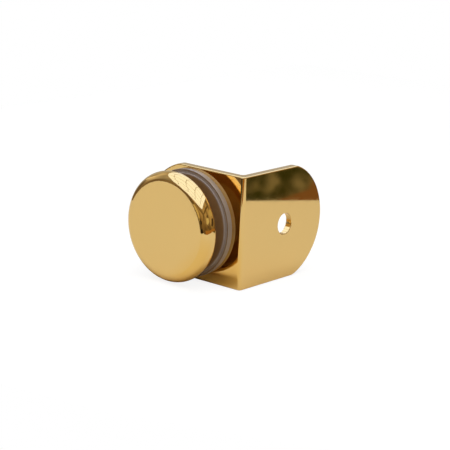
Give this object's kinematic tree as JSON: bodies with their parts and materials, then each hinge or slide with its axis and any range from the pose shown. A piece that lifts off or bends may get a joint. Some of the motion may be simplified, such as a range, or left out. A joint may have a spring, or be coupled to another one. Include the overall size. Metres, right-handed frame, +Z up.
{
  "type": "glass-to-wall bracket",
  "caption": "Polished brass angle bracket with round-ended legs that holds a glass panel to a wall: a screw hole in one leg, and a round cap that clamps the glass on gaskets on the other.",
  "frame": {"origin": "centre of the wall hole on the face that lies against the wall", "axes": "+Y out of the wall into the room, +Z up, +X along the wall away from the bend; the glass is clamped on the -X side"},
  "size_m": [0.0646, 0.05, 0.045],
  "materials": {
    "polished_brass": "mirror-polished gold",
    "gasket_plastic": "soft translucent PVC, greyish",
    "sleeve_plastic": "translucent nylon",
    "stainless_steel": "plain machined stainless steel"
  },
  "bodies": {
    "bracket": {"angle_bracket": "polished_brass", "rear_gasket": "gasket_plastic", "front_gasket": "gasket_plastic"},
    "cap": {"clamp_cap": "polished_brass", "glass_sleeve": "sleeve_plastic"},
    "screw": {"clamp_screw": "stainless_steel"}
  },
  "joints": [
    {"name": "cap_travel", "type": "slide", "parent": "bracket", "child": "cap", "axis": [1, 0, 0], "range_m": [-0.0016, 0.0024]},
    {"name": "screw_turn", "type": "hinge", "parent": "bracket", "child": "screw", "pos_m": [-0.0265, 0.0265, 0], "axis": [-1, 0, 0], "range_deg": [-576, 864]}
  ],
  "couplings": [
    {"joint": "screw_turn", "follows": "cap_travel", "rad_per_m": 6283.2}
  ]
}
